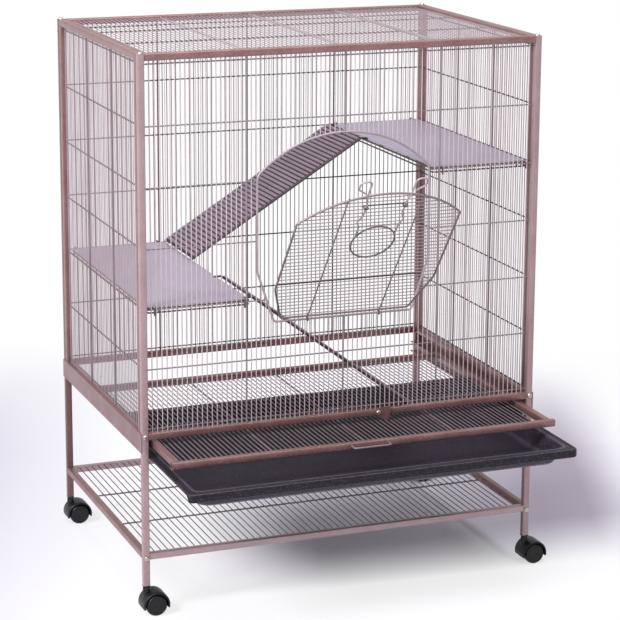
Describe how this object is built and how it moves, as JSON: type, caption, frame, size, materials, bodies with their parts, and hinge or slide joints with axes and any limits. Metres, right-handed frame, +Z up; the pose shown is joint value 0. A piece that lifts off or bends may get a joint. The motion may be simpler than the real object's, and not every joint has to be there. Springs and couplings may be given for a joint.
{
  "type": "ferret cage",
  "caption": "Wire ferret cage on a square-tube stand with swivel casters, an arched drop-down door, platforms with ramps, a pull-out floor grille, a litter tray and a storage shelf.",
  "frame": {"origin": "On the floor, under the middle of the four legs.", "axes": "+Z is up. -Y is the front with the door and the drawers. +X is to the right seen from the front."},
  "size_m": [0.8184, 0.7822, 1.0344],
  "materials": {
    "frame": "bronze-brown hammertone powder coat",
    "wire": "bronze-brown powder coat on wire",
    "sheet": "lilac-grey hammertone powder coat",
    "tray_plastic": "grained charcoal polypropylene",
    "black_plastic": "satin black nylon",
    "steel": "bright zinc-plated steel"
  },
  "bodies": {
    "cage": {"post_front_left": "frame", "post_front_right": "frame", "post_back_left": "frame", "post_back_right": "frame", "front_rails": "frame", "back_rails": "frame", "left_frame": "frame", "right_frame": "frame", "top_frame": "frame", "base_channel_left": "frame", "base_channel_right": "frame", "shelf_rails": "frame", "shelf_grid": "wire", "back_grid": "wire", "left_grid": "wire", "right_grid": "wire", "top_grid": "wire", "front_grid_left": "wire", "front_grid_right": "wire", "front_grid_above": "wire", "front_grid_below": "wire", "front_corner_wires": "wire", "door_ring": "wire", "upper_deck": "sheet", "upper_deck_rim": "wire", "lower_deck": "sheet", "lower_deck_rim": "wire", "top_screws": "steel", "face_screws": "steel", "leg_plugs": "black_plastic", "caster_stems": "steel"},
    "door": {"door_rim": "wire", "door_grid": "wire"},
    "door_catch": {"door_latch": "wire"},
    "grille_drawer": {"grille_frame": "frame", "grille_grid": "wire", "grille_handle": "wire"},
    "tray_drawer": {"litter_tray": "tray_plastic"},
    "grille_catch": {"turn_latch": "frame"},
    "ramp_upper": {"upper_ramp": "sheet", "upper_ramp_wires": "wire"},
    "ramp_lower": {"lower_ramp": "sheet", "lower_ramp_wires": "wire"},
    "swivel_front_left": {"hood_front_left": "black_plastic", "axle_front_left": "steel"},
    "wheel_front_left": {"wheels_front_left": "black_plastic"},
    "swivel_front_right": {"hood_front_right": "black_plastic", "axle_front_right": "steel"},
    "wheel_front_right": {"wheels_front_right": "black_plastic"},
    "swivel_back_left": {"hood_back_left": "black_plastic", "axle_back_left": "steel"},
    "wheel_back_left": {"wheels_back_left": "black_plastic"},
    "swivel_back_right": {"hood_back_right": "black_plastic", "axle_back_right": "steel"},
    "wheel_back_right": {"wheels_back_right": "black_plastic"}
  },
  "joints": [
    {"name": "door_hinge", "type": "hinge", "parent": "cage", "child": "door", "pos_m": [0, -0.26375, 0.53], "axis": [1, 0, 0], "range_deg": [-37.5, 75]},
    {"name": "door_catch_slide", "type": "slide", "parent": "door", "child": "door_catch", "axis": [0, -0.6088, 0.7934], "range_m": [-0.006, 0.016]},
    {"name": "grille_slide", "type": "slide", "parent": "cage", "child": "grille_drawer", "axis": [0, 1, 0], "range_m": [-0.165, 0.128]},
    {"name": "tray_slide", "type": "slide", "parent": "cage", "child": "tray_drawer", "axis": [0, 1, 0], "range_m": [-0.15, 0.222]},
    {"name": "grille_catch_pivot", "type": "hinge", "parent": "cage", "child": "grille_catch", "pos_m": [0.069, -0.27, 0.33875], "axis": [0, -1, 0], "range_deg": [0, 90]},
    {"name": "upper_ramp_hinge", "type": "hinge", "parent": "cage", "child": "ramp_upper", "pos_m": [0.18, 0.157, 0.79143], "axis": [0, 1, 0], "range_deg": [0, 30]},
    {"name": "lower_ramp_hinge", "type": "hinge", "parent": "cage", "child": "ramp_lower", "pos_m": [-0.18, -0.157, 0.57127], "axis": [0, -1, 0], "range_deg": [0, 30]},
    {"name": "swivel_front_left_axis", "type": "hinge", "parent": "cage", "child": "swivel_front_left", "pos_m": [-0.38375, -0.26375, 0.045], "axis": [0, 0, 1], "continuous": true},
    {"name": "wheel_front_left_axis", "type": "hinge", "parent": "swivel_front_left", "child": "wheel_front_left", "pos_m": [-0.36875, -0.26375, 0.02], "axis": [0, 1, 0], "continuous": true},
    {"name": "swivel_front_right_axis", "type": "hinge", "parent": "cage", "child": "swivel_front_right", "pos_m": [0.38375, -0.26375, 0.045], "axis": [0, 0, 1], "continuous": true},
    {"name": "wheel_front_right_axis", "type": "hinge", "parent": "swivel_front_right", "child": "wheel_front_right", "pos_m": [0.39875, -0.26375, 0.02], "axis": [0, 1, 0], "continuous": true},
    {"name": "swivel_back_left_axis", "type": "hinge", "parent": "cage", "child": "swivel_back_left", "pos_m": [-0.38375, 0.26375, 0.045], "axis": [0, 0, 1], "continuous": true},
    {"name": "wheel_back_left_axis", "type": "hinge", "parent": "swivel_back_left", "child": "wheel_back_left", "pos_m": [-0.36875, 0.26375, 0.02], "axis": [0, 1, 0], "continuous": true},
    {"name": "swivel_back_right_axis", "type": "hinge", "parent": "cage", "child": "swivel_back_right", "pos_m": [0.38375, 0.26375, 0.045], "axis": [0, 0, 1], "continuous": true},
    {"name": "wheel_back_right_axis", "type": "hinge", "parent": "swivel_back_right", "child": "wheel_back_right", "pos_m": [0.39875, 0.26375, 0.02], "axis": [0, 1, 0], "continuous": true}
  ]
}
